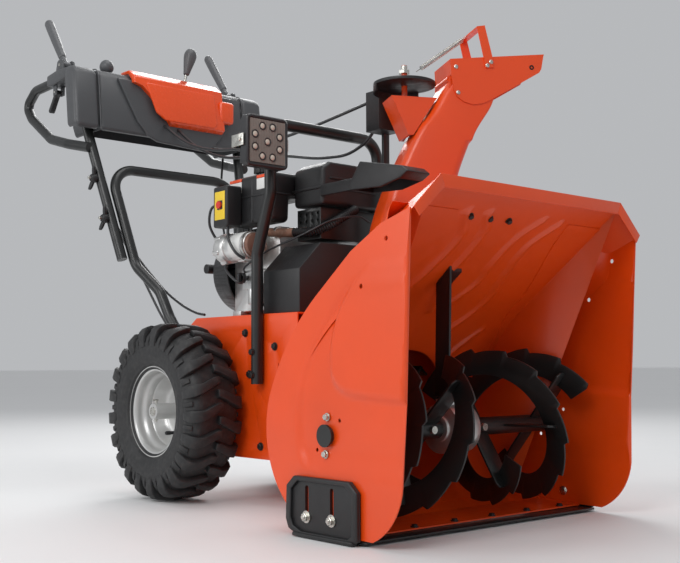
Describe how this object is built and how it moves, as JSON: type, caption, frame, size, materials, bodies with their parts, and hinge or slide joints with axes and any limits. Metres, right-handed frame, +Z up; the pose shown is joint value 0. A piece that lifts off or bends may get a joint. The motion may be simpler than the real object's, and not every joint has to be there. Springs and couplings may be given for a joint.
{
  "type": "two stage snowblower",
  "caption": "Walk-behind two-stage snowblower: auger housing with impeller, turning chute with deflector, engine, lugged wheels and console with clutch levers.",
  "frame": {"origin": "on the ground under the middle of the whole machine as it stands, its chute turned left", "axes": "+Z up, -Y the way the machine travels, +X to the operator's left; the machine's own middle plane is at X = -0.014 m"},
  "size_m": [0.6701, 1.5395, 1.2],
  "materials": {
    "orange_paint": "glossy red-orange powder coat",
    "black_paint": "satin black powder coat",
    "zinc_steel": "zinc plated",
    "cast_alloy": "as cast",
    "black_plastic": "fine textured black",
    "grey_plastic": "fine textured dark grey",
    "orange_plastic": "glossy red-orange",
    "lever_plastic": "soft satin grey",
    "light_black": "satin black cast housing",
    "belt_rubber": "ribbed belt rubber",
    "cable_sheath": "satin black sheath",
    "red_plastic": "gloss red",
    "tyre_rubber": "matt black rubber with raised lugs",
    "silver_paint": "pale silver enamel",
    "rusty_pipe": "heat-browned steel"
  },
  "bodies": {
    "frame": {"housing_shell": "orange_paint", "side_plate_right": "orange_paint", "side_plate_left": "orange_paint", "scraper_bar": "black_paint", "frame_bolts": "zinc_steel", "flange_bearings": "black_paint", "auger_gearbox": "cast_alloy", "gearbox_strut": "black_paint", "drive_belt": "belt_rubber", "impeller_drum": "orange_paint", "chute_head": "black_plastic", "chassis_case": "orange_paint", "transmission": "cast_alloy", "belt_cover": "black_plastic", "engine_block": "cast_alloy", "recoil_shroud": "black_plastic", "fuel_tank": "black_plastic", "air_cleaner_cover": "black_plastic", "muffler": "black_paint", "exhaust_pipe": "rusty_pipe", "electric_starter": "cast_alloy", "carburetor": "cast_alloy", "handlebar_lower": "black_paint", "handlebar_upper": "black_paint", "wing_knobs": "black_plastic", "console_body": "grey_plastic", "console_end_caps": "grey_plastic", "console_cover": "orange_plastic", "light_hoop": "black_paint", "light_bracket": "zinc_steel", "control_cables": "cable_sheath"},
    "auger": {"auger_flight_right": "black_paint", "auger_flight_left": "black_paint", "auger_shaft": "zinc_steel"},
    "impeller": {"impeller": "black_paint", "impeller_pulley": "zinc_steel"},
    "crank": {"crank_pulley": "zinc_steel"},
    "wheel_right": {"tyre_right": "tyre_rubber", "rim_right": "silver_paint", "axle_right": "zinc_steel"},
    "wheel_left": {"tyre_left": "tyre_rubber", "rim_left": "silver_paint", "axle_left": "zinc_steel"},
    "skid_right": {"skid_shoe_right": "black_paint"},
    "skid_left": {"skid_shoe_left": "black_paint"},
    "chute": {"chute_spout": "orange_paint", "chute_bracket": "orange_paint", "deflector_spring": "zinc_steel"},
    "deflector": {"chute_deflector": "orange_paint"},
    "light": {"work_light": "light_black"},
    "auger_clutch": {"auger_clutch_lever": "lever_plastic"},
    "drive_clutch": {"drive_clutch_lever": "lever_plastic"},
    "trigger_right": {"steering_trigger_right": "black_plastic"},
    "trigger_left": {"steering_trigger_left": "black_plastic"},
    "speed_selector": {"speed_lever": "lever_plastic"},
    "chute_control": {"chute_lever": "lever_plastic"},
    "starter_switch": {"starter_button": "red_plastic"},
    "choke": {"choke_knob": "black_plastic"},
    "filler_cap": {"fuel_cap": "black_plastic"},
    "recoil_grip": {"recoil_handle": "black_plastic"}
  },
  "joints": [
    {"name": "auger_spin", "type": "hinge", "parent": "frame", "child": "auger", "pos_m": [-0.014, -0.561, 0.171], "axis": [1, 0, 0], "continuous": true},
    {"name": "impeller_spin", "type": "hinge", "parent": "frame", "child": "impeller", "pos_m": [-0.014, -0.35, 0.171], "axis": [0, 1, 0], "continuous": true},
    {"name": "crank_spin", "type": "hinge", "parent": "frame", "child": "crank", "pos_m": [-0.014, -0.24, 0.5], "axis": [0, 1, 0], "continuous": true},
    {"name": "wheel_right_spin", "type": "hinge", "parent": "frame", "child": "wheel_right", "pos_m": [-0.225, 0.07, 0.1905], "axis": [1, 0, 0], "continuous": true},
    {"name": "wheel_left_spin", "type": "hinge", "parent": "frame", "child": "wheel_left", "pos_m": [0.197, 0.07, 0.1905], "axis": [1, 0, 0], "continuous": true},
    {"name": "skid_right_height", "type": "slide", "parent": "frame", "child": "skid_right", "axis": [0, 0, 1], "range_m": [-0.045, 0]},
    {"name": "skid_left_height", "type": "slide", "parent": "frame", "child": "skid_left", "axis": [0, 0, 1], "range_m": [-0.045, 0]},
    {"name": "chute_turn", "type": "hinge", "parent": "frame", "child": "chute", "pos_m": [0.051, -0.379, 0.428], "axis": [0, 0, 1], "range_deg": [-158, 32]},
    {"name": "deflector_tilt", "type": "hinge", "parent": "chute", "child": "deflector", "pos_m": [0.12941, -0.41895, 0.877], "axis": [0.454, 0.891, 0], "range_deg": [-6, 50]},
    {"name": "light_tilt", "type": "hinge", "parent": "frame", "child": "light", "pos_m": [-0.214, -0.244, 0.733], "axis": [1, 0, 0], "range_deg": [-20, 20]},
    {"name": "auger_clutch_press", "type": "hinge", "parent": "frame", "child": "auger_clutch", "pos_m": [-0.264, 0.534, 1.054], "axis": [1, 0, 0], "range_deg": [-46, 0], "stiffness_Nm_per_rad": 1.5, "springref_deg": 17.19},
    {"name": "drive_clutch_press", "type": "hinge", "parent": "frame", "child": "drive_clutch", "pos_m": [0.236, 0.534, 1.054], "axis": [1, 0, 0], "range_deg": [-46, 0], "stiffness_Nm_per_rad": 1.5, "springref_deg": 17.19},
    {"name": "trigger_right_squeeze", "type": "hinge", "parent": "frame", "child": "trigger_right", "pos_m": [-0.264, 0.572, 0.992], "axis": [1, 0, 0], "range_deg": [0, 28], "stiffness_Nm_per_rad": 0.3, "springref_deg": -17.19},
    {"name": "trigger_left_squeeze", "type": "hinge", "parent": "frame", "child": "trigger_left", "pos_m": [0.236, 0.572, 0.992], "axis": [1, 0, 0], "range_deg": [0, 28], "stiffness_Nm_per_rad": 0.3, "springref_deg": -17.19},
    {"name": "speed_shift", "type": "hinge", "parent": "frame", "child": "speed_selector", "pos_m": [-0.172, 0.49, 1.01], "axis": [1, 0, 0], "range_deg": [-14, 14]},
    {"name": "chute_lever_swing", "type": "hinge", "parent": "frame", "child": "chute_control", "pos_m": [0.052, 0.49, 1.01], "axis": [0, 1, 0], "range_deg": [-33.5, 7]},
    {"name": "starter_press", "type": "slide", "parent": "frame", "child": "starter_switch", "axis": [1, 0, 0], "range_m": [0, 0.004], "stiffness_N_per_m": 300, "springref_m": -0.002},
    {"name": "choke_turn", "type": "hinge", "parent": "frame", "child": "choke", "pos_m": [-0.145, -0.078, 0.476], "axis": [1, 0, 0], "range_deg": [0, 75]},
    {"name": "fuel_cap_turn", "type": "hinge", "parent": "frame", "child": "filler_cap", "pos_m": [-0.074, -0.066, 0.72], "axis": [0, 0, 1], "range_deg": [0, 120]},
    {"name": "recoil_pull", "type": "slide", "parent": "frame", "child": "recoil_grip", "axis": [0, 1, 0], "range_m": [0, 0.06], "stiffness_N_per_m": 60, "springref_m": -0.05}
  ],
  "couplings": [
    {"joint": "impeller_spin", "follows": "auger_spin", "ratio": 10},
    {"joint": "crank_spin", "follows": "auger_spin", "ratio": 20},
    {"joint": "chute_lever_swing", "follows": "chute_turn", "ratio": 0.21}
  ]
}
